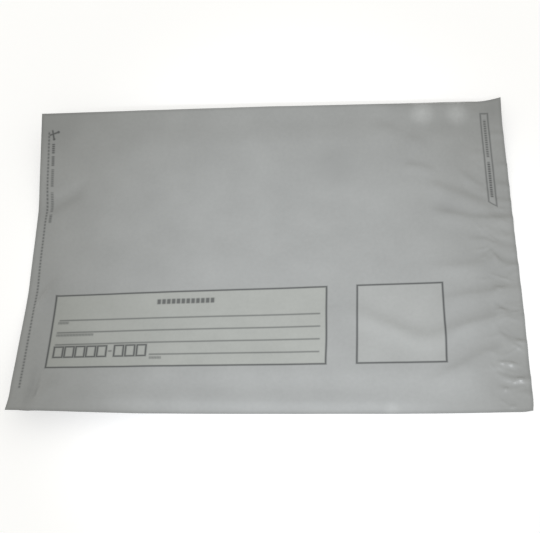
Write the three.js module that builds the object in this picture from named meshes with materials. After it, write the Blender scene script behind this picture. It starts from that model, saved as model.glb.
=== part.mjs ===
// Film mailer bag, closed and lying face up. Both films are welded together all round: the bag is one solid.
// Millimetres. X runs from the plain end to the sealed end, Y from the near side to the far side, Z up.
import * as THREE from 'three';

// Overall size in plan
const bagLength = 360;
const bagWidth = 258;

// Thickness: two films pressed together at the margins, a little air between them in the middle
const marginThickness = 0.8;
const bellyThickness = 3.2;
const sideWeld = 8; // flat strip along each long side
const plainEndWeld = 10; // flat strip at the plain end
const sealBand = 18; // stuck-down strip at the sealed end
const shoulder = 26; // run in which the film rises from a flat strip to the belly
const underSag = 4; // how far the lower film sags back to the table under a curled side

// The long sides curl up off the table, most at the plain end. The near corner of the sealed end lies flat.
const farPlainCurl = 20.7;
const nearPlainCurl = 21.8;
const farSealCurl = 10.6;
const restStrip = 39; // width of the flat strip along the middle that the bag rests on
const curlPower = 1.6; // how sharply the sides turn up
const curlSpread = 1.3; // how soon the curl dies out along the bag

// The far corner of the sealed end flares up a little more
const flareLift = 5;
const flareAlong = 20;
const flareAcross = 30;

// Folds of the upper film at the gathered sealed end. A crest runs through points given by their distances
// from the sealed end and from the near side, its inner end first. Far and near are the half widths of its
// flanks. It dies out over a run at its inner end and, unless that is 0, over one at its outer end.
const folds = [
  // short hooked pleats in the stuck-down strip
  { crest: [[24, 154.8], [14, 153.6], [0, 154]], height: 0.8, far: 4, near: 7, fade: [10, 0] },
  { crest: [[22, 147], [12, 142.2], [0, 139.6]], height: 0.8, far: 3.4, near: 5, fade: [8, 0] },
  { crest: [[21, 137], [15, 132.9], [5, 129.4], [0, 128.7]], height: 0.9, far: 3.4, near: 5, fade: [8, 0] },
  { crest: [[19, 127], [12.5, 118.2], [3, 114.6], [0, 114]], height: 1.4, far: 3.6, near: 6, fade: [8, 0] },
  { crest: [[22, 92.4], [11, 95], [0, 95.3]], height: 1, far: 3.6, near: 7, fade: [10, 0] },
  { crest: [[19, 81], [10, 74], [0, 73.2]], height: 1.3, far: 3.4, near: 6.5, fade: [8, 0] },
  { crest: [[20, 60.5], [11.3, 53.4], [0, 50.8]], height: 1.6, far: 3.6, near: 4.5, fade: [8, 0] },
  { crest: [[23, 38.5], [16, 36.8], [7, 37.3]], height: 0.9, far: 5, near: 3, fade: [5, 5] },
  { crest: [[20, 26], [10, 23], [0, 23.5]], height: 1.6, far: 3.4, near: 3, fade: [10, 0] },
  { crest: [[23, 17], [12, 15.4], [0, 11.8]], height: 0.8, far: 3.2, near: 3, fade: [8, 0] },
  // small tucks beside the far corner
  { crest: [[11, 229], [0, 228.2]], height: 0.6, far: 2.6, near: 4, fade: [4, 0] },
  { crest: [[10, 201], [0, 200.2]], height: 0.7, far: 2.6, near: 4, fade: [4, 0] },
  { crest: [[10, 184], [0, 182.4]], height: 0.8, far: 2.6, near: 4, fade: [4, 0] },
  { crest: [[12, 169], [0, 167.3]], height: 0.8, far: 2.6, near: 4, fade: [4, 0] },
  // long soft folds that roll on into the body
  { crest: [[72, 167], [50, 162.7], [26, 154.4], [0, 154]], height: 1.3, far: 5, near: 8, fade: [24, 20] },
  { crest: [[34, 137.6], [28, 136.7], [14, 133]], height: 0.6, far: 3.6, near: 6, fade: [8, 8] },
  { crest: [[56, 113], [31, 114.4], [15, 121]], height: 1.5, far: 6, near: 8, fade: [30, 10] },
  { crest: [[52, 87], [24, 92], [10, 95]], height: 1.4, far: 5, near: 8, fade: [24, 12] },
  {
    crest: [[114, 75], [96, 66], [69, 55], [42, 64.6], [14, 74]],
    height: 1.8,
    far: 8,
    near: 9,
    fade: [50, 12],
  },
  { crest: [[48, 62], [30, 68], [12, 74]], height: 0.9, far: 4.2, near: 6, fade: [20, 8] },
  { crest: [[62, 28], [49, 33.4], [26, 44.5], [14, 48]], height: 1.5, far: 6, near: 8, fade: [26, 10] },
  // diagonal folds below the far corner
  { crest: [[88, 225.5], [76, 223], [61, 219.3], [48, 215]], height: 0.9, far: 5, near: 7, fade: [14, 14] },
  { crest: [[86, 203.6], [67, 202.4], [58, 201]], height: 0.7, far: 4, near: 6, fade: [10, 10] },
  {
    crest: [[68, 187.5], [58, 183.9], [43, 176.8], [25.4, 167.2], [16, 163]],
    height: 1.3,
    far: 6,
    near: 7,
    fade: [16, 12],
  },
  { crest: [[38, 195.5], [30, 191], [22, 184.5], [14, 178]], height: 0.9, far: 4.6, near: 6, fade: [12, 10] },
  { crest: [[26, 212], [14, 211]], height: 0.5, far: 3.4, near: 5, fade: [6, 6] },
  // low roll along the near side
  { crest: [[240, 13], [150, 12], [105, 11.5], [52, 12]], height: 2, far: 10, near: 7, fade: [120, 40] },
];

// Soft dents and puckers of the upper film: half length, half width, turn in degrees from X, and lift
const puckerEdge = 3; // run in which they fade at the long sides
const puckers = [
  { fromPlain: 297, fromNear: 253.4, along: 11, across: 7, turn: 5, lift: 3 },
  { fromPlain: 325, fromNear: 252.2, along: 10.5, across: 7, turn: -6, lift: 3 },
  { fromPlain: 272, fromNear: 253, along: 10, across: 7, turn: 0, lift: 0.9 },
  { fromPlain: 15, fromNear: 186, along: 9, across: 16, turn: 12, lift: -1.2 },
  { fromPlain: 16, fromNear: 113, along: 9, across: 14, turn: -8, lift: -1.1 },
  { fromPlain: 17, fromNear: 14, along: 15, across: 4.5, turn: 52, lift: 1.2 },
];

// Mesh fineness of the upper film: closer lines where the folds are. The smooth underside takes fewer.
const plainEndLength = 40;
const pleatedLength = 90;
const farStrip = 29;
const plainEndColumns = 6;
const bodyColumns = 12;
const pleatColumns = 34;
const pleatRows = 82;
const farRows = 6;
const undersideStep = 2; // lines of the upper film to one of the underside

const filmColour = '#b3b5b2';
const filmRoughness = 0.42;

const halfLength = bagLength / 2;
const halfWidth = bagWidth / 2;

function evenSteps(from, to, count) {
  return Array.from({ length: count + 1 }, (_, step) => from + ((to - from) * step) / count);
}

// How far a place has turned up beyond the flat resting strip, from 0 to 1 at the side
function turnUp(fromMiddle) {
  const start = restStrip / 2;
  const beyond = Math.max(0, fromMiddle - start) / (halfWidth - start);
  return beyond ** curlPower;
}

function curl(x, y) {
  const towardPlain = (0.5 - x / bagLength) ** curlSpread;
  const farSide = farSealCurl + (farPlainCurl - farSealCurl) * towardPlain;
  const nearSide = nearPlainCurl * towardPlain;
  return farSide * turnUp(y) + nearSide * turnUp(-y);
}

function flare(x, y) {
  const along = THREE.MathUtils.smoothstep(x, halfLength - flareAlong, halfLength + flareAlong);
  const across = THREE.MathUtils.smoothstep(y, halfWidth - flareAcross, halfWidth + flareAcross);
  return 4 * flareLift * along * across;
}

// Height of a fold as a function of the place
function foldHeight({ crest, height, far, near, fade }) {
  const along = crest.map(([fromEnd]) => halfLength - fromEnd);
  const across = crest.map(([, fromNear]) => fromNear - halfWidth);
  const line = new THREE.CubicInterpolant(along, across, 1);
  const growth = (x, middle, run) => THREE.MathUtils.smoothstep(x, middle - run / 2, middle + run / 2);
  const [innerRun, outerRun] = fade;
  return (x, y) => {
    const grown = growth(x, along[0], innerRun);
    const left = outerRun > 0 ? 1 - growth(x, along[along.length - 1], outerRun) : 1;
    const fromCrest = y - line.evaluate(x)[0];
    const flank = fromCrest > 0 ? far : near;
    return height * grown * left * Math.exp(-((fromCrest / flank) ** 2));
  };
}

const foldHeights = folds.map(foldHeight);

function gathers(x, y) {
  return foldHeights.reduce((sum, heightAt) => sum + heightAt(x, y), 0);
}

function pucker({ fromPlain, fromNear, along, across, turn, lift }, x, y) {
  const place = new THREE.Vector2(x + halfLength - fromPlain, y + halfWidth - fromNear);
  place.rotateAround(new THREE.Vector2(), -THREE.MathUtils.degToRad(turn));
  return lift * Math.exp(-((place.x / along) ** 2) - (place.y / across) ** 2);
}

// How free the films are of each other: 0 on the flat strips, 1 beyond the shoulders
function looseness(x, y) {
  const rise = (inset, strip) => THREE.MathUtils.smoothstep(inset, strip, strip + shoulder);
  const across = rise(halfWidth - Math.abs(y), sideWeld);
  return across * rise(halfLength + x, plainEndWeld) * rise(halfLength - x, sealBand);
}

function underside(x, y) {
  const turnedUp = curl(x, y) + flare(x, y);
  return Math.max(0, turnedUp - underSag * looseness(x, y));
}

function upperSide(x, y) {
  const belly = (bellyThickness - marginThickness) * looseness(x, y);
  const inset = THREE.MathUtils.smoothstep(halfWidth - Math.abs(y), 0, puckerEdge);
  const dents = puckers.reduce((sum, dent) => sum + pucker(dent, x, y), 0) * inset;
  const air = Math.max(0, belly + dents);
  return curl(x, y) + flare(x, y) + gathers(x, y) + marginThickness + air;
}

// Lines of the upper grid
const plainSeam = plainEndLength - halfLength;
const pleatSeam = halfLength - pleatedLength;
const farSeam = halfWidth - farStrip;
const columns = [
  ...evenSteps(-halfLength, plainSeam, plainEndColumns),
  ...evenSteps(plainSeam, pleatSeam, bodyColumns).slice(1),
  ...evenSteps(pleatSeam, halfLength, pleatColumns).slice(1),
];
const rows = [
  ...evenSteps(-halfWidth, farSeam, pleatRows),
  ...evenSteps(farSeam, halfWidth, farRows).slice(1),
];

// A film over some of those lines: its points, its upward faces, and its edge counter-clockwise from above
function filmSheet(height, step) {
  const xLines = columns.filter((_, column) => column % step === 0);
  const yLines = rows.filter((_, row) => row % step === 0);
  const points = xLines.flatMap((x) => yLines.map((y) => new THREE.Vector3(x, y, height(x, y))));
  const pointAt = (column, row) => column * yLines.length + row;
  const lastColumn = xLines.length - 1;
  const lastRow = yLines.length - 1;
  const faces = [];
  for (let column = 0; column < lastColumn; column += 1) {
    for (let row = 0; row < lastRow; row += 1) {
      const [a, b] = [pointAt(column, row), pointAt(column + 1, row)];
      const [c, d] = [pointAt(column + 1, row + 1), pointAt(column, row + 1)];
      // each cell is split along the diagonal that follows the folds
      const rising = Math.abs(points[a].z - points[c].z) < Math.abs(points[b].z - points[d].z);
      faces.push(...(rising ? [[a, b, c], [a, c, d]] : [[a, b, d], [b, c, d]]));
    }
  }
  const near = xLines.slice(1).map((_, place) => pointAt(place, 0));
  const sealed = yLines.slice(1).map((_, place) => pointAt(lastColumn, place));
  const far = xLines.slice(1).map((_, place) => pointAt(lastColumn - place, lastRow));
  const plain = yLines.slice(1).map((_, place) => pointAt(0, lastRow - place));
  return { points, faces, edge: [...near, ...sealed, ...far, ...plain] };
}

function bagGeometry() {
  const upper = filmSheet(upperSide, 1);
  const lower = filmSheet(underside, undersideStep);
  const below = upper.points.length;
  const lowerFaces = lower.faces.map(([a, b, c]) => [below + a, below + c, below + b]);
  const rimFaces = lower.edge.flatMap((from, place) => {
    const start = below + from;
    const end = below + lower.edge[(place + 1) % lower.edge.length];
    const above = evenSteps(0, undersideStep, undersideStep).map(
      (step) => upper.edge[(place * undersideStep + step) % upper.edge.length],
    );
    const fan = above.slice(1).map((point, step) => [start, point, above[step]]);
    return [[start, end, above[undersideStep]], ...fan];
  });
  const geometry = new THREE.BufferGeometry().setFromPoints([...upper.points, ...lower.points]);
  geometry.setIndex([...upper.faces, ...lowerFaces, ...rimFaces].flat());
  geometry.computeVertexNormals();
  return geometry;
}

const film = new THREE.MeshStandardMaterial({ color: filmColour, roughness: filmRoughness, metalness: 0 });
const bag = new THREE.Mesh(bagGeometry(), film);
bag.name = 'mailer_bag';

const mailer = new THREE.Group();
mailer.add(bag);

export default mailer;
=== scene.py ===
import math

import bpy
import numpy as np
from mathutils import Euler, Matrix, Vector


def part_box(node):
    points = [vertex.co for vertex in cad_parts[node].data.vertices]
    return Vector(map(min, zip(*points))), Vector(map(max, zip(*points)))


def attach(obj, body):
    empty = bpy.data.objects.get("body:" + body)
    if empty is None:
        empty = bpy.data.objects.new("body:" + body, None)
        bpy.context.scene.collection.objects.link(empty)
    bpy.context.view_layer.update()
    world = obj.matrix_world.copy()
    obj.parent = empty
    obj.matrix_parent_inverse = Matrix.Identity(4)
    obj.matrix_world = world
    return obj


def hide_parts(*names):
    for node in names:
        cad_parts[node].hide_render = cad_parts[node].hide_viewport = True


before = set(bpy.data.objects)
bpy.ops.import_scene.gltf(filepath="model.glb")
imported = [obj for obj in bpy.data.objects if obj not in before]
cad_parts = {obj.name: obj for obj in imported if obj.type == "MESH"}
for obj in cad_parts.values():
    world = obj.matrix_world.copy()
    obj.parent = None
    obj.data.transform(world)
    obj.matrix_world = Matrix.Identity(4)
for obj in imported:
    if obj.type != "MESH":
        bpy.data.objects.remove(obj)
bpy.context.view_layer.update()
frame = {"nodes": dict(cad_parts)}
mm = 0.001
print("frame loaded:", ", ".join(frame["nodes"]))

# Camera, placed so that the bag's outline and its printed form fall where the photograph has them
cameraView = {
    "place": (67.9, -458.8, 759.1),  # mm
    "turn": (30.715, 4.799, 0.55),  # degrees about X, Y and Z
    "sensor": 36,  # mm
    "focalPixels": 1200,
    "photoWidth": 540,
}


def makeCamera(view):
    lens = bpy.data.cameras.new("camera")
    lens.sensor_width = view["sensor"]
    lens.lens = lens.sensor_width * view["focalPixels"] / view["photoWidth"]
    camera = bpy.data.objects.new("camera", lens)
    camera.location = Vector(view["place"]) * mm
    camera.rotation_euler = Euler([math.radians(angle) for angle in view["turn"]])
    bpy.context.scene.collection.objects.link(camera)
    bpy.context.scene.camera = camera


makeCamera(cameraView)
print("camera set")

# Form of the bag, in millimetres, over the plan of the solid's own box
lowCorner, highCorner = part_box("mailer_bag")
bagLength = (highCorner.x - lowCorner.x) / mm
bagWidth = (highCorner.y - lowCorner.y) / mm
halfLength = bagLength / 2
halfWidth = bagWidth / 2

bagForm = {
    "margin": 0.45,  # both films at the welded edges
    "belly": 3.2,  # thickness in the middle
    "sideWeld": 8,
    "plainEndWeld": 10,
    "sealBand": 18,
    "shoulder": 26,
    "underSag": 4,
    "airRun": 100,  # run in which the air thins out toward the plain end
    "puckerEdge": 3,  # run in which puckers fade at the long sides
    "farPlainCurl": 20.7,
    "nearPlainCurl": 21.8,
    "farSealCurl": 10.6,
    "restStrip": 39,
    "curlPower": 1.6,
    "curlSpread": 1.3,
    "flareLift": 5,
    "flareAlong": 20,
    "flareAcross": 30,
}

# Folds of the film, most of them at the gathered end, each along a line of points from the bag's middle
filmFolds = [
    # short hooked pleats in the sealed band
    {"line": [(156, 25.8), (166, 24.6), (182, 25)], "height": 0.8, "far": 4, "near": 7, "fade": (10, 0)},
    {"line": [(158, 18), (168, 13.2), (182, 10.2)], "height": 0.7, "far": 3.4, "near": 5, "fade": (8, 0)},
    {"line": [(159, 8), (165, 3.9), (175, 0.4), (182, -0.5)], "height": 0.8, "far": 3.4, "near": 5,
     "fade": (8, 0)},
    {"line": [(161, -2), (167.5, -10.8), (177, -14.4), (182, -15)], "height": 1.25, "far": 3.6, "near": 6,
     "fade": (8, 0)},
    {"line": [(158, -36.6), (169, -34), (182, -33.6)], "height": 0.9, "far": 3.6, "near": 7,
     "fade": (10, 0)},
    {"line": [(161, -48), (170, -55), (182, -56)], "height": 1.1, "far": 3.4, "near": 6.5, "fade": (8, 0)},
    {"line": [(160, -68.5), (168.7, -75.6), (182, -78.6)], "height": 1.3, "far": 3.6, "near": 6.5,
     "fade": (8, 0)},
    {"line": [(157, -90.5), (164, -92.2), (173, -91.7)], "height": 0.5, "far": 5, "near": 3,
     "fade": (5, 5)},
    {"line": [(160, -103), (170, -106), (182, -105.4)], "height": 1.4, "far": 3.4, "near": 3,
     "fade": (10, 0)},
    {"line": [(157, -112), (168, -113.6), (182, -118)], "height": 0.6, "far": 3.2, "near": 3,
     "fade": (8, 0)},
    # small tucks between the mark and the edge
    {"line": [(169, 100), (182, 99)], "height": 1.1, "far": 2.6, "near": 4, "fade": (4, 0)},
    {"line": [(170, 72), (182, 71)], "height": 1.1, "far": 2.6, "near": 4, "fade": (4, 0)},
    {"line": [(170, 56), (182, 54)], "height": 1.3, "far": 2.6, "near": 4, "fade": (4, 0)},
    {"line": [(168, 42), (182, 40)], "height": 1.1, "far": 2.6, "near": 4, "fade": (4, 0)},
    # long soft folds that roll on into the body
    {"line": [(124, 31.4), (133, 29), (143, 26.8), (153.6, 25.2), (182, 25)], "height": 1.9, "far": 5,
     "near": 8, "fade": (20, 20)},
    {"line": [(146, 8.6), (152, 7.7), (166, 4)], "height": 0.6, "far": 3.6, "near": 6, "fade": (8, 8)},
    {"line": [(124, -16), (149, -14.6), (165, -8)], "height": 1.5, "far": 6, "near": 8, "fade": (30, 10)},
    {"line": [(128, -42), (156, -37), (170, -34)], "height": 1.4, "far": 5, "near": 8, "fade": (24, 12)},
    {"line": [(66, -54), (84, -63), (111, -74), (138, -64.4), (166, -55)], "height": 1.8, "far": 8,
     "near": 9, "fade": (50, 12)},
    {"line": [(132, -67), (150, -61), (168, -55)], "height": 0.9, "far": 4.2, "near": 6, "fade": (20, 8)},
    {"line": [(116, -105), (131, -98), (154, -84.8), (166, -81)], "height": 1.5, "far": 6, "near": 12,
     "fade": (26, 10)},
    # diagonal folds below the far corner
    {"line": [(82, 106.4), (90, 105), (96, 103)], "height": 1.1, "far": 6, "near": 8, "fade": (12, 12)},
    {"line": [(105, 93.4), (111, 92.4), (119, 90)], "height": 1.5, "far": 5.6, "near": 8, "fade": (10, 12)},
    {"line": [(103, 72.6), (113, 71), (123, 67.6)], "height": 1.4, "far": 4, "near": 6, "fade": (8, 10)},
    {"line": [(120, 54), (137, 47), (154.6, 39.6), (164, 36)], "height": 2.3, "far": 7, "near": 8,
     "fade": (14, 12)},
    {"line": [(145, 63.5), (150, 60), (158.3, 53.6), (166, 47)], "height": 1.2, "far": 4.6, "near": 6,
     "fade": (12, 10)},
    {"line": [(154, 83), (166, 82)], "height": 0.7, "far": 3.4, "near": 5, "fade": (6, 6)},
    # slack at the plain end, and a crease in its near corner
    {"line": [(-176, 50), (-160, 59), (-145, 67)], "height": -3.2, "far": 9, "near": 8, "fade": (14, 16)},
    {"line": [(-171, -38), (-165.6, -29), (-159.5, -20)], "height": 3.7, "far": 9, "near": 11,
     "fade": (9, 10)},
    {"line": [(-166.6, -115), (-164.8, -109.6), (-161, -101.5)], "height": -3, "far": 19, "near": 19,
     "fade": (7, 6)},
    # low roll along the near side
    {"line": [(-122, -117.5), (-40, -119), (30, -120), (75, -120), (108, -120)], "height": 1.9, "far": 10,
     "near": 6, "fade": (84, 70)},
]
# Soft puckers, with the reach along and across and the turn in degrees
puckers = [
    {"place": (118, 122.4), "reach": (13, 8), "turn": 5, "lift": 3.8},
    {"place": (146.4, 121.6), "reach": (13, 8), "turn": -6, "lift": 3.8},
    {"place": (92, 124), "reach": (10, 8), "turn": 0, "lift": 1.6},
    {"place": (-154, -113), "reach": (12, 6.5), "turn": 66, "lift": 2.6},
    # crumpled tips of the sealed band, which catch the light
    {"place": (162.2, -92.6), "reach": (3.0, 1.5), "turn": -6, "lift": 1.25},
    {"place": (169, -93.4), "reach": (3.2, 1.6), "turn": -18, "lift": 1.2},
    {"place": (173.8, -105.6), "reach": (3.2, 1.6), "turn": -22, "lift": 1.0},
    {"place": (175.6, -76.4), "reach": (3.4, 1.6), "turn": -12, "lift": 0.95},
    {"place": (162.4, -112.2), "reach": (1.5, 1.4), "turn": 0, "lift": 0.8},
    {"place": (166, -125.4), "reach": (2.5, 1.6), "turn": 0, "lift": 0.8},
]


def ease(value, start, end):
    share = np.clip((value - start) / (end - start), 0, 1)
    return share * share * (3 - 2 * share)


def turnUp(fromMiddle):
    start = bagForm["restStrip"] / 2
    beyond = np.maximum(0, fromMiddle - start) / (halfWidth - start)
    return beyond ** bagForm["curlPower"]


def curl(x, y):
    towardPlain = np.clip(0.5 - x / bagLength, 0, 1) ** bagForm["curlSpread"]
    farSide = bagForm["farSealCurl"] + (bagForm["farPlainCurl"] - bagForm["farSealCurl"]) * towardPlain
    return farSide * turnUp(y) + bagForm["nearPlainCurl"] * towardPlain * turnUp(-y)


def flare(x, y):
    along = ease(x, halfLength - bagForm["flareAlong"], halfLength + bagForm["flareAlong"])
    across = ease(y, halfWidth - bagForm["flareAcross"], halfWidth + bagForm["flareAcross"])
    return 4 * bagForm["flareLift"] * along * across  # both shares are a half at the corner


def lineThrough(points, x):
    # height of a smooth line through a few points, straight beyond its ends
    px, py = np.array(points, float).T
    slopes = np.gradient(py, px)
    step = np.clip(np.searchsorted(px, x) - 1, 0, len(px) - 2)
    run = px[step + 1] - px[step]
    t = np.clip((x - px[step]) / run, 0, 1)
    line = py[step] * (1 + 2 * t) * (1 - t) ** 2 + py[step + 1] * t * t * (3 - 2 * t)
    line = line + run * t * (1 - t) * (slopes[step] * (1 - t) - slopes[step + 1] * t)
    return line + slopes[0] * np.minimum(x - px[0], 0) + slopes[-1] * np.maximum(x - px[-1], 0)


def fold(x, y, crease):
    inner, outer = crease["line"][0][0], crease["line"][-1][0]
    fadeIn, fadeOut = crease["fade"]  # lengths, about the first and the last point
    rise = ease(x, inner - fadeIn / 2, inner + fadeIn / 2)
    if fadeOut:
        rise = rise * (1 - ease(x, outer - fadeOut / 2, outer + fadeOut / 2))
    fromCrest = y - lineThrough(crease["line"], x)
    flank = np.where(fromCrest > 0, crease["far"], crease["near"])  # half width on each side
    return crease["height"] * rise * np.exp(-((fromCrest / flank) ** 2))


def gathers(x, y):
    return sum(fold(x, y, crease) for crease in filmFolds)


def dents(x, y):
    lift = np.zeros_like(x)
    for pucker in puckers:
        dx, dy = x - pucker["place"][0], y - pucker["place"][1]
        c, s = math.cos(math.radians(pucker["turn"])), math.sin(math.radians(pucker["turn"]))
        along = (dx * c + dy * s) / pucker["reach"][0]
        across = (dy * c - dx * s) / pucker["reach"][1]
        lift += pucker["lift"] * np.exp(-(along**2) - across**2)
    return lift * ease(halfWidth - np.abs(y), 0, bagForm["puckerEdge"])


def looseness(x, y):
    def rise(inset, strip):
        return ease(inset, strip, strip + bagForm["shoulder"])

    across = rise(halfWidth - np.abs(y), bagForm["sideWeld"])
    plainEnd = rise(halfLength + x, bagForm["plainEndWeld"])
    return across * plainEnd * rise(halfLength - x, bagForm["sealBand"])


# How the film is drawn out of the flat rectangle, at its edges and under the print
filmPulls = [
    {"place": (-180, -129), "reach": (70, 50), "shift": (0.9, 2.3)},
    {"place": (-180, 129), "reach": (60, 70), "shift": (-0.8, -0.9)},
    {"place": (180, -129), "reach": (50, 40), "shift": (0.2, 0.8)},
    {"place": (180, -129), "reach": (4, 4), "shift": (-0.7, 0.8)},
    {"place": (180, 129), "reach": (40, 50), "shift": (-1.3, 0)},
    {"place": (0, 129), "reach": (120, 60), "shift": (0, 1.1)},
    {"place": (176, 129), "reach": (16, 14), "shift": (0, -0.7)},
    {"place": (180, -45), "reach": (12, 40), "shift": (0.5, 0)},
    {"place": (-180, -118), "reach": (10, 10), "shift": (0.6, 0)},
    {"place": (-178, 52), "reach": (14, 20), "shift": (0.7, 0)},
    {"place": (-174, -20), "reach": (5, 14), "shift": (0.5, 0)},
    {"place": (-176, -68), "reach": (12, 26), "shift": (-0.5, 0)},
    {"place": (-160, -40), "reach": (50, 25), "shift": (0, 1.25)},
    {"place": (41, -92), "reach": (16, 16), "shift": (-0.9, 0)},
    {"place": (41, -27), "reach": (16, 16), "shift": (0.55, 0)},
    {"place": (124.4, -92), "reach": (18, 14), "shift": (-0.65, 0)},
    {"place": (124.4, -27), "reach": (18, 14), "shift": (0.25, 0)},
]


def drawnPlan(x, y):
    drawnX, drawnY = x.copy(), y.copy()
    for pull in filmPulls:
        along = (x - pull["place"][0]) / pull["reach"][0]
        across = (y - pull["place"][1]) / pull["reach"][1]
        share = np.exp(-(along**2) - across**2)
        drawnX += share * pull["shift"][0]
        drawnY += share * pull["shift"][1]
    return drawnX, drawnY


# Fine slack of the film, and the sharp small tucks of the sealed band
crinkle = {
    "broad": (46, 0.2, 3),  # size, height, seed
    "middle": (17, 0.14, 8),
    "fine": (6, 0.045, 5),
    "lattice": 96,  # points along each side of the noise
    "latticeStart": 40,
    "tucks": [(64, -124, 28, 12), (34, 34, 124, 21)],  # count, from and to across the bag, seed
    "tuckPlace": (154, 178),
    "tuckTurn": (-55, 35),
    "tuckHeight": (0.15, 0.48),
    "tuckLength": (3, 7),
    "tuckWidth": (1.0, 1.9),
    "calm": (6, 40),  # from and to across the bag, where tucks keep only a share of their height
    "calmShare": 0.55,
}


def slack(x, y, size, seed):
    side, start = crinkle["lattice"], crinkle["latticeStart"]
    lattice = np.random.default_rng(seed).uniform(-1, 1, (side, side))
    gx, gy = x / size + start, y / size + start
    ix, iy = np.floor(gx).astype(int), np.floor(gy).astype(int)
    fx, fy = gx - ix, gy - iy
    fx, fy = fx * fx * (3 - 2 * fx), fy * fy * (3 - 2 * fy)
    low = lattice[ix, iy] * (1 - fx) + lattice[ix + 1, iy] * fx
    high = lattice[ix, iy + 1] * (1 - fx) + lattice[ix + 1, iy + 1] * fx
    return low * (1 - fy) + high * fy


def crinkles(x, y):
    bands = [crinkle["broad"], crinkle["middle"], crinkle["fine"]]
    return sum(height * (1 + slack(x, y, size, seed)) for size, height, seed in bands)


def tucks(x, y):
    lift = np.zeros_like(x)
    calmFrom, calmTo = crinkle["calm"]
    for count, first, last, seed in crinkle["tucks"]:
        rng = np.random.default_rng(seed)
        for _ in range(count):
            cx, cy = rng.uniform(*crinkle["tuckPlace"]), rng.uniform(first, last)
            turn = math.radians(rng.uniform(*crinkle["tuckTurn"]))
            height = rng.uniform(*crinkle["tuckHeight"])
            length, width = rng.uniform(*crinkle["tuckLength"]), rng.uniform(*crinkle["tuckWidth"])
            if calmFrom < cy < calmTo:
                height *= crinkle["calmShare"]
            dx, dy = x - cx, y - cy
            along = (dx * math.cos(turn) + dy * math.sin(turn)) / length
            across = (dy * math.cos(turn) - dx * math.sin(turn)) / width
            lift += height * np.exp(-(along**2) - across**2)
    return lift


def folds(x, y):
    return gathers(x, y) + tucks(x, y) + crinkles(x, y)


def upperFilm(x, y):
    thinned = ease(halfLength + x, bagForm["plainEndWeld"], bagForm["plainEndWeld"] + bagForm["airRun"])
    belly = (bagForm["belly"] - bagForm["margin"]) * looseness(x, y) * thinned
    air = np.maximum(0, belly + dents(x, y))
    return curl(x, y) + flare(x, y) + bagForm["margin"] + air + folds(x, y)


def lowerFilm(x, y):
    loose = looseness(x, y)
    turnedUp = curl(x, y) + flare(x, y)
    return np.maximum(0, turnedUp - bagForm["underSag"] * loose) + folds(x, y) * (1 - loose)


# Grid of the film, with more lines where it is gathered
filmMesh = {
    "bodyColumns": 200,
    "pleatColumns": 96,
    "pleatedLength": 52,
    "pleatRows": 190,
    "plainRows": 60,
    "pleatedWidth": 170,
    "lengthShare": (0.005, 0.995),  # place of the films along the bake map
    "frontShare": (0.16, 0.995),  # and up it
    "backShare": (0.005, 0.14),
    "rimShare": (0.145, 0.155),
    "backShift": 5.0,  # metres: keeps the print off the back
}


def filmGrid(columns, rows, film, first):
    x, y = np.meshgrid(columns, rows, indexing="ij")
    points = np.stack([*drawnPlan(x, y), film(x, y)], -1).reshape(-1, 3)
    plan = np.stack([x, y], -1).reshape(-1, 2)
    index = first + np.arange(x.size).reshape(x.shape)
    faces = np.stack([index[:-1, :-1], index[1:, :-1], index[1:, 1:], index[:-1, 1:]], -1)
    loop = np.concatenate([index[:-1, 0], index[-1, :-1], index[:0:-1, -1], index[0, :0:-1]])
    return points, plan, faces.reshape(-1, 4), loop


def filmLines():
    seam = halfLength - filmMesh["pleatedLength"]
    plainFrom = filmMesh["pleatedWidth"] - halfWidth
    columns = np.concatenate([
        np.linspace(-halfLength, seam, filmMesh["bodyColumns"] + 1),
        np.linspace(seam, halfLength, filmMesh["pleatColumns"] + 1)[1:],
    ])
    rows = np.concatenate([
        np.linspace(-halfWidth, plainFrom, filmMesh["pleatRows"] + 1),
        np.linspace(plainFrom, halfWidth, filmMesh["plainRows"] + 1)[1:],
    ])
    return columns, rows


def layFlat(mesh, plans, front, back, rim):
    # plan of each corner in metres, and the layout that the finish is baked through
    corners = np.concatenate([front.reshape(-1), back.reshape(-1), rim.reshape(-1)])
    onBack = np.arange(len(corners)) >= front.size
    flat = plans[corners]
    along, across = flat[:, 0] / bagLength + 0.5, flat[:, 1] / bagWidth + 0.5
    plan = flat * mm
    plan[onBack, 0] += filmMesh["backShift"]
    lowEnd = np.where(onBack, filmMesh["backShare"][0], filmMesh["frontShare"][0])
    highEnd = np.where(onBack, filmMesh["backShare"][1], filmMesh["frontShare"][1])
    start, end = filmMesh["lengthShare"]
    layout = np.stack([start + (end - start) * along, lowEnd + (highEnd - lowEnd) * across], -1)
    steps = (np.arange(len(rim))[:, None] + [0, 1, 1, 0.5, 0]) / len(rim)  # the five corners of a rim face
    lowRim, highRim = filmMesh["rimShare"]
    heights = np.tile([lowRim, lowRim, highRim, highRim, highRim], (len(rim), 1))
    layout[-rim.size:] = np.stack([steps, heights], -1).reshape(-1, 2)
    for layerName, values in (("filmPlan", plan), ("OFBake", layout)):
        layer = mesh.uv_layers.new(name=layerName)
        layer.data.foreach_set("uv", values.astype(np.float32).reshape(-1))


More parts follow.
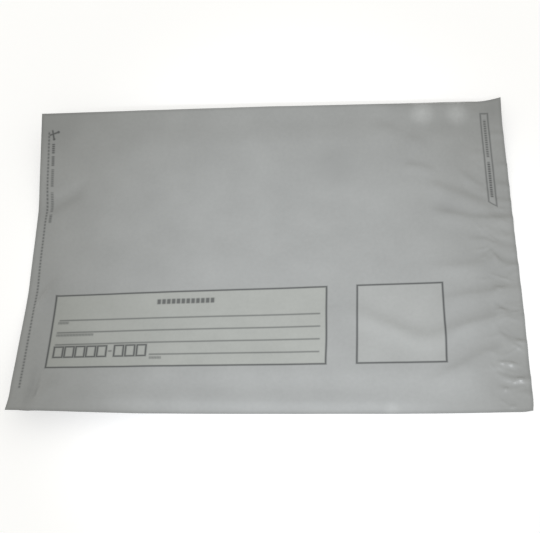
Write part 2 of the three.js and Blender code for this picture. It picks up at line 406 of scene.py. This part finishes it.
def makeFilm(name):
    columns, rows = filmLines()

    # The back is smooth, so its grid keeps every second line. Each rim face takes two edges of the front.
    frontPoints, frontPlan, front, frontLoop = filmGrid(columns, rows, upperFilm, 0)
    backPoints, backPlan, back, backLoop = filmGrid(columns[::2], rows[::2], lowerFilm, len(frontPoints))
    back = back[:, ::-1]
    frontAfter, backAfter = np.roll(frontLoop, -2), np.roll(backLoop, -1)
    rim = np.stack([backLoop, backAfter, frontAfter[::2], frontLoop[1::2], frontLoop[::2]], -1)
    points = np.concatenate([frontPoints, backPoints])

    mesh = bpy.data.meshes.new(name)
    mesh.from_pydata((points * mm).tolist(), [], front.tolist() + back.tolist() + rim.tolist())
    mesh.shade_smooth()
    edgeRing = set(map(frozenset, np.stack([frontLoop, np.roll(frontLoop, -1)], -1).tolist()))
    edgeRing |= set(map(frozenset, np.stack([backLoop, backAfter], -1).tolist()))
    for edge in mesh.edges:
        edge.use_edge_sharp = frozenset(edge.vertices) in edgeRing
    layFlat(mesh, np.concatenate([frontPlan, backPlan]), front, back, rim)

    piece = bpy.data.objects.new(name, mesh)
    bpy.context.scene.collection.objects.link(piece)
    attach(piece, "root")
    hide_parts("mailer_bag")
    return piece


bag = makeFilm("mailer_film")
print("film made:", len(bag.data.polygons), "faces")


# Finishes: a wire is one output socket, and arithmetic on wires adds Math nodes
class Wire:
    def __init__(self, finish, socket):
        self.finish = finish
        self.socket = socket

    def math(self, operation, *values):
        return self.finish.node("Math", {"operation": operation}, dict(enumerate(values)))

    def __add__(self, other):
        return self.math("ADD", self, other)

    def __sub__(self, other):
        return self.math("SUBTRACT", self, other)

    def __rsub__(self, other):
        return self.math("SUBTRACT", other, self)

    def __mul__(self, other):
        return self.math("MULTIPLY", self, other)

    def __mod__(self, other):
        return self.math("FLOORED_MODULO", self, other)

    def __rmod__(self, other):
        return self.math("FLOORED_MODULO", other, self)

    def __or__(self, other):
        return self.math("MAXIMUM", self, other)

    def __and__(self, other):
        return self.math("MINIMUM", self, other)

    def __abs__(self):
        return self.math("ABSOLUTE", self)

    __radd__ = __add__
    __rmul__ = __mul__
    __ror__ = __or__
    __rand__ = __and__


class Finish:
    def __init__(self, name):
        self.material = bpy.data.materials.new(name)
        self.material.use_nodes = True
        self.tree = self.material.node_tree
        self.tree.nodes.clear()

    def node(self, kind, settings=None, inputs=None, output=0):
        made = self.tree.nodes.new("ShaderNode" + kind)
        for name, value in (settings or {}).items():
            setattr(made, name, value)
        for name, value in (inputs or {}).items():
            if isinstance(value, Wire):
                self.tree.links.new(value.socket, made.inputs[name])
            else:
                made.inputs[name].default_value = value
        return Wire(self, made.outputs[output]) if made.outputs else None

    def mix(self, share, first, second):
        settings = {"data_type": "RGBA", "clamp_factor": True}
        return self.node("Mix", settings, {0: share, 6: first, 7: second}, 2)

    def noise(self, place, scale, detail):
        inputs = {"Vector": place, "Scale": scale, "Detail": detail}
        return self.node("TexNoise", {"noise_dimensions": "2D"}, inputs)

    def close(self, inputs):
        surface = self.node("BsdfPrincipled", None, inputs)
        self.node("OutputMaterial", None, {"Surface": surface})
        return self.material


# Print on the front film, in millimetres of the flat plan from the bag's middle
printing = {
    "form": (-157.9, 40.9, -91.1, -27.8),  # left, right, low, high
    "stamp": (62.7, 124.4, -91.0, -27.4),
    "stampLean": 1.7,  # the slack film pulls the left side of the square out of true
    "softness": 1.1,
    "frameLine": 1.25,
    "rules": [(-153.2, 36.6, -50.0), (-153.9, 36.6, -60.4), (-153.9, 36.3, -70.8), (-84.6, 36.2, -81.15)],
    "ruleLine": 1.1,
    "ruleInk": 0.74,
    "cells": (-82.0, -72.8),  # low, high
    "cellWidth": 6.4,
    "cellLine": 1.25,
    "cellRows": [(-153.8, 7.9, 5), (-109.9, 8.15, 3)],  # left side of the first, pitch, count
    "hyphen": (-114.3, -111.6, -78.0, -76.9),
    "heading": (-82.3, -39.6, -36.1),  # start, end, middle
    "headingHeight": 4.3,
    "headingBlocks": 12,
    "headingFilled": 0.78,
    "headingInk": 0.84,
    "labels": [(-154.0, -146.0, -52.1), (-154.1, -126.6, -62.6), (-84.4, -75.7, -84.0)],
    "labelHeight": 2.2,
    "labelPitch": 1.1,
    "labelFilled": 0.8,
    "labelInk": 0.75,
    "cutLine": (-173.7, -110.2, 114.5),  # place along the bag, low, high
    "cutWidth": 1.4,
    "cutPitch": 2.84,
    "cutFilled": 0.7,
    "cutInk": 0.72,
    "cutNotes": [
        (37.7, 45.6, 0.74), (48.0, 64.2, 0.62), (68.3, 83.3, 0.7), (85.8, 94.2, 0.86), (96.0, 104.4, 0.92),
    ],  # start, end, ink
    "cutNotePlace": -170.0,
    "cutNoteHeight": 2.2,
    "cutNotePitch": 1.7,
    "cutNoteFilled": 0.75,
    "mark": (163.6, 169.2, 39.4, 117.6),
    "markSlant": 3.7,
    "markLine": 1.1,
    "markInk": 0.68,
    "markNotes": [(45.0, 76.0, 0.9), (80.0, 112.5, 0.75)],  # start, end, ink
    "markNotePlace": 166.4,
    "markNoteHeight": 2.1,
    "markNotePitch": 2.0,
    "markNoteFilled": 0.72,
    "blades": [((-171.1, 115.4), (-169.7, 107.6)), ((-165.9, 113.7), (-173.4, 111.2))],
    "bladeLine": 1.15,
    "grips": [(-166.4, 113.6), (-169.7, 108.0)],
    "gripRadius": 1.0,
}


def inked(depth):
    # depth inside a printed shape, whose edge is a little soft
    return (depth * (1 / printing["softness"]) + 0.5) & 1 | 0


def band(place, low, high):
    return inked((high - low) / 2 - abs(place - (low + high) / 2))


def bar(x, y, left, right, low, high):
    return band(x, left, right) * band(y, low, high)


def frameLine(x, y, box, line):
    left, right, low, high = box
    pastEnds = abs(x - (left + right) / 2) - (right - left) / 2
    pastSides = abs(y - (low + high) / 2) - (high - low) / 2
    return inked(line / 2 - abs(pastEnds | pastSides))


def dashes(along, start, pitch, filled):
    return inked(filled * pitch / 2 - abs((along - start) % pitch - pitch / 2))


def blockLine(along, across, start, end, middle, height, pitch, filled):
    blocks = dashes(along, start, pitch, filled)
    return bar(along, across, start, end, middle - height / 2, middle + height / 2) * blocks


def stroke(x, y, start, end, line):
    run = Vector(end) - Vector(start)
    unit = run.normalized()
    dx, dy = x - (start[0] + end[0]) / 2, y - (start[1] + end[1]) / 2
    along, across = dx * unit.x + dy * unit.y, dy * unit.x - dx * unit.y
    return inked(run.length / 2 - abs(along)) * inked(line / 2 - abs(across))


def leaning(x, y):
    # plan along the bag, sheared so that the stamp square's left side leans and its right side stays
    left, right, low, high = printing["stamp"]
    share = printing["stampLean"] / (high - low) / (right - left)
    return x - (y - (low + high) / 2) * (right - x) * share


def formInk(x, y):
    p = printing
    ink = frameLine(x, y, p["form"], p["frameLine"])
    ink = ink | frameLine(leaning(x, y), y, p["stamp"], p["frameLine"])
    for left, right, place in p["rules"]:
        rule = bar(x, y, left, right, place - p["ruleLine"] / 2, place + p["ruleLine"] / 2)
        ink = ink | rule * p["ruleInk"]
    for first, pitch, count in p["cellRows"]:
        for cell in range(count):
            left = first + cell * pitch
            ink = ink | frameLine(x, y, (left, left + p["cellWidth"], *p["cells"]), p["cellLine"])
    ink = ink | bar(x, y, *p["hyphen"]) * p["ruleInk"]
    start, end, middle = p["heading"]
    pitch = (end - start) / p["headingBlocks"]
    heading = blockLine(x, y, start, end, middle, p["headingHeight"], pitch, p["headingFilled"])
    ink = ink | heading * p["headingInk"]
    for start, end, middle in p["labels"]:
        label = blockLine(x, y, start, end, middle, p["labelHeight"], p["labelPitch"], p["labelFilled"])
        ink = ink | label * p["labelInk"]
    return ink


def endInk(x, y):
    p = printing
    place, low, high = p["cutLine"]
    cut = bar(x, y, place - p["cutWidth"] / 2, place + p["cutWidth"] / 2, low, high)
    ink = cut * dashes(y, low, p["cutPitch"], p["cutFilled"]) * p["cutInk"]
    shape = p["cutNotePlace"], p["cutNoteHeight"], p["cutNotePitch"], p["cutNoteFilled"]
    for start, end, strength in p["cutNotes"]:
        ink = ink | blockLine(y, x, start, end, *shape) * strength
    for start, end in p["blades"]:
        ink = ink | stroke(x, y, start, end, p["bladeLine"])
    for gripX, gripY in p["grips"]:
        dx, dy = x - gripX, y - gripY
        ink = ink | inked((p["gripRadius"] ** 2 - dx * dx - dy * dy) * (0.5 / p["gripRadius"]))
    left, right, low, high = p["mark"]
    slope = p["markSlant"] / (right - left)
    slantedLow = low + (left + right) / 2 * slope - x * slope
    pastEnds = abs(x - (left + right) / 2) - (right - left) / 2
    outside = pastEnds | (y - high) | (slantedLow - y)
    ink = ink | inked(p["markLine"] / 2 - abs(outside)) * p["markInk"]
    shape = p["markNotePlace"], p["markNoteHeight"], p["markNotePitch"], p["markNoteFilled"]
    for start, end, strength in p["markNotes"]:
        ink = ink | blockLine(y, x, start, end, *shape) * strength
    return ink


# Grey film with a slight sheen
filmFinish = {
    "grey": (0.383, 0.393, 0.390, 1),
    "formField": (0.408, 0.421, 0.401, 1),
    "stampField": (0.406, 0.416, 0.409, 1),
    "ink": (0.083, 0.088, 0.09, 1),
    "roughness": 0.34,
    "roughSwing": 0.12,
    "cloudMottle": 0.15,
    "grainMottle": 0.075,
    "spotGrain": 0.5,
    "cloud": (0.03, 4.0),  # noise: scale, detail
    "grain": (0.35, 3.0),
    "pebble": (0.22, 5.0),
    "pebbleStrength": 0.12,
    "pebbleHeight": 0.0006,  # metres
    "edgeRun": 2.6,  # run of the painted shade along the cut edge, which is drawn a little darker
    "paintedEdgeShade": 0.17,
    # painted light and shade on the film: a share above 0 is a painted highlight, below 0 is painted shade;
    # place, radius, share
    "paintedLightAndShade": [
        (118, 118.6, 12.5, 0.26), (145, 117.6, 12.5, 0.24), (84, -126, 7, 0.1), (-180, 129, 62, -0.1),
        (174, 121, 17, -0.08), (49, 73, 26, -0.1), (135, 39, 20, -0.08), (-89, -12, 26, -0.06),
    ],
}


def makeFilmFinish():
    finish = Finish("grey_film")
    plan = finish.node("UVMap", {"uv_map": "filmPlan"})
    flat = finish.node("VectorMath", {"operation": "SCALE"}, {0: plan, "Scale": 1 / mm})
    x = finish.node("SeparateXYZ", None, {0: flat}, 0)
    y = finish.node("SeparateXYZ", None, {0: flat}, 1)
    cloud = finish.noise(flat, *filmFinish["cloud"])
    grain = finish.noise(flat, *filmFinish["grain"])
    inset = (halfLength - abs(x)) & (halfWidth - abs(y))
    # painted shade: the film colour is darkened in a strip along its cut edges
    paintedEdgeMask = (1 - inset * (1 / filmFinish["edgeRun"])) | 0
    shade = (cloud - 0.5) * filmFinish["cloudMottle"] + (grain - 0.5) * filmFinish["grainMottle"]
    shade = shade - paintedEdgeMask * filmFinish["paintedEdgeShade"]
    grainy = 1 + (grain - 0.5) * filmFinish["spotGrain"]
    # painted highlights and painted shade, laid into the film colour together with its random mottle
    for spotX, spotY, radius, share in filmFinish["paintedLightAndShade"]:
        dx, dy = (x - spotX) * (1 / radius), (y - spotY) * (1 / radius)
        spot = (1 - dx * dx - dy * dy) | 0
        shade = shade + spot * spot * grainy * share
    film = finish.mix(bar(x, y, *printing["form"]), filmFinish["grey"], filmFinish["formField"])
    film = finish.mix(bar(leaning(x, y), y, *printing["stamp"]), film, filmFinish["stampField"])
    mottleAndPaintedShade = finish.node("VectorMath", {"operation": "SCALE"}, {0: film, "Scale": 1 + shade})
    colour = finish.mix(formInk(x, y) | endInk(x, y), mottleAndPaintedShade, filmFinish["ink"])
    rough = filmFinish["roughness"] + (cloud - 0.5) * filmFinish["roughSwing"]
    bump = finish.node("Bump", None, {
        "Strength": filmFinish["pebbleStrength"],
        "Distance": filmFinish["pebbleHeight"],
        "Height": finish.noise(flat, *filmFinish["pebble"]),
    })
    return finish.close({"Base Color": colour, "Roughness": rough, "Normal": bump})


bag.data.materials.append(makeFilmFinish())
print("film finished")

# Pale floor, in metres
floorForm = {
    "size": 6.0,
    "drop": 0.0004,
    "colour": (0.86, 0.86, 0.86, 1),
    "roughness": 0.9,
    "glow": 0.5,
}


def makeFloor():
    half = floorForm["size"] / 2
    mesh = bpy.data.meshes.new("floor")
    corners = [(-half, -half), (half, -half), (half, half), (-half, half)]
    mesh.from_pydata([(a, b, -floorForm["drop"]) for a, b in corners], [], [(0, 1, 2, 3)])
    floor = bpy.data.objects.new("floor", mesh)
    bpy.context.scene.collection.objects.link(floor)
    finish = Finish("pale_floor")
    mesh.materials.append(finish.close({
        "Base Color": floorForm["colour"],
        "Roughness": floorForm["roughness"],
        "Emission Color": floorForm["colour"],
        "Emission Strength": floorForm["glow"],
    }))


# Soft light: even all round, a broad light over the near side and a pool of light on the print
evenLight = {
    "colour": (1.0, 0.985, 0.93, 1),
    "strength": 0.53,
}
lamps = {
    "window": {
        "kind": "SUN",
        "place": (-0.25, -0.95, 1.5),
        "aim": (0, 0, 0),
        "spread": 24,  # degrees
        "power": 0.45,
        "colour": (0.99, 1.0, 1.02),
    },
    "pool": {
        "kind": "SPOT",
        "place": (0.07, -0.62, 0.72),
        "aim": (0.025, -0.061, 0),
        "radius": 0.04,
        "cone": 27,  # degrees
        "blend": 1,
        "power": 19.6,
        "colour": (0.967, 1.0, 1.067),
    },
}


def makeLamps():
    for name, lamp in lamps.items():
        light = bpy.data.lights.new(name, lamp["kind"])
        light.energy = lamp["power"]
        light.color = lamp["colour"]
        if lamp["kind"] == "SPOT":
            light.shadow_soft_size = lamp["radius"]
            light.spot_size = math.radians(lamp["cone"])
            light.spot_blend = lamp["blend"]
        else:
            light.angle = math.radians(lamp["spread"])
        holder = bpy.data.objects.new(name, light)
        holder.location = lamp["place"]
        toward = Vector(lamp["aim"]) - Vector(lamp["place"])
        holder.rotation_euler = toward.to_track_quat("-Z", "Y").to_euler()
        bpy.context.scene.collection.objects.link(holder)


def makeWorld():
    world = bpy.data.worlds.new("studio")
    world.use_nodes = True
    background = world.node_tree.nodes["Background"]
    background.inputs["Color"].default_value = evenLight["colour"]
    background.inputs["Strength"].default_value = evenLight["strength"]
    bpy.context.scene.world = world
    bpy.context.scene.view_settings.view_transform = "Standard"


makeFloor()
makeLamps()
makeWorld()
print("studio lit")
